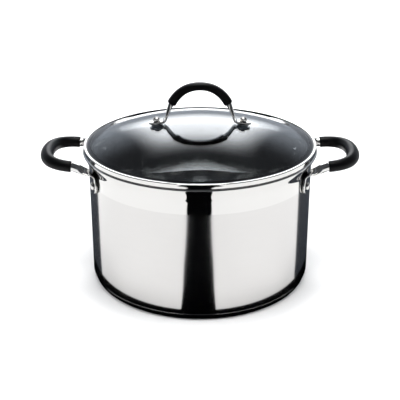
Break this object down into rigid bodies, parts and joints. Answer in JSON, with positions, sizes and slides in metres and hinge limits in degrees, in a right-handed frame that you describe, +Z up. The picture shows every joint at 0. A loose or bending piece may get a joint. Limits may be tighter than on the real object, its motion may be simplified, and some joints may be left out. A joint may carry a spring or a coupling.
{
  "type": "stock pot",
  "caption": "Round stainless steel pot with a flared rolled lip, looped side handles with dark sleeves, and a lift-off domed glass lid with an arched handle.",
  "frame": {"origin": "centre of the flat underside, where the pot stands", "axes": "+Z up; +X through the two side handles; -Y is the front"},
  "size_m": [0.3428, 0.2508, 0.2176],
  "materials": {
    "polished_steel": "satin outer wall below a mirror-polished top band",
    "aluminium_core": "rolled",
    "base_steel": "polished edge, turned underside",
    "handle_steel": "mirror-polished stainless steel",
    "black_silicone": "smooth satin silicone",
    "tempered_glass": "clear, faintly grey",
    "band_steel": "mirror-polished stainless steel",
    "dark_seal": "matt silicone",
    "fastener_steel": "polished stainless steel"
  },
  "bodies": {
    "pot": {"pot_body": "polished_steel", "base_core": "aluminium_core", "base_cap": "base_steel", "right_handle_loop": "handle_steel", "right_handle_grip": "black_silicone", "right_front_rivet": "handle_steel", "right_back_rivet": "handle_steel", "left_handle_loop": "handle_steel", "left_handle_grip": "black_silicone", "left_front_rivet": "handle_steel", "left_back_rivet": "handle_steel"},
    "lid": {"lid_glass": "tempered_glass", "lid_band": "band_steel", "lid_seal": "dark_seal", "lid_handle_arch": "handle_steel", "lid_handle_grip": "black_silicone", "lid_right_screw": "fastener_steel", "lid_right_bush": "dark_seal", "lid_right_pad": "dark_seal", "lid_right_washer": "fastener_steel", "lid_right_cap_nut": "fastener_steel", "lid_left_screw": "fastener_steel", "lid_left_bush": "dark_seal", "lid_left_pad": "dark_seal", "lid_left_washer": "fastener_steel", "lid_left_cap_nut": "fastener_steel"}
  },
  "joints": [
    {"name": "lid_lift", "type": "slide", "parent": "pot", "child": "lid", "axis": [0, 0, 1], "range_m": [0, 0.18]}
  ]
}
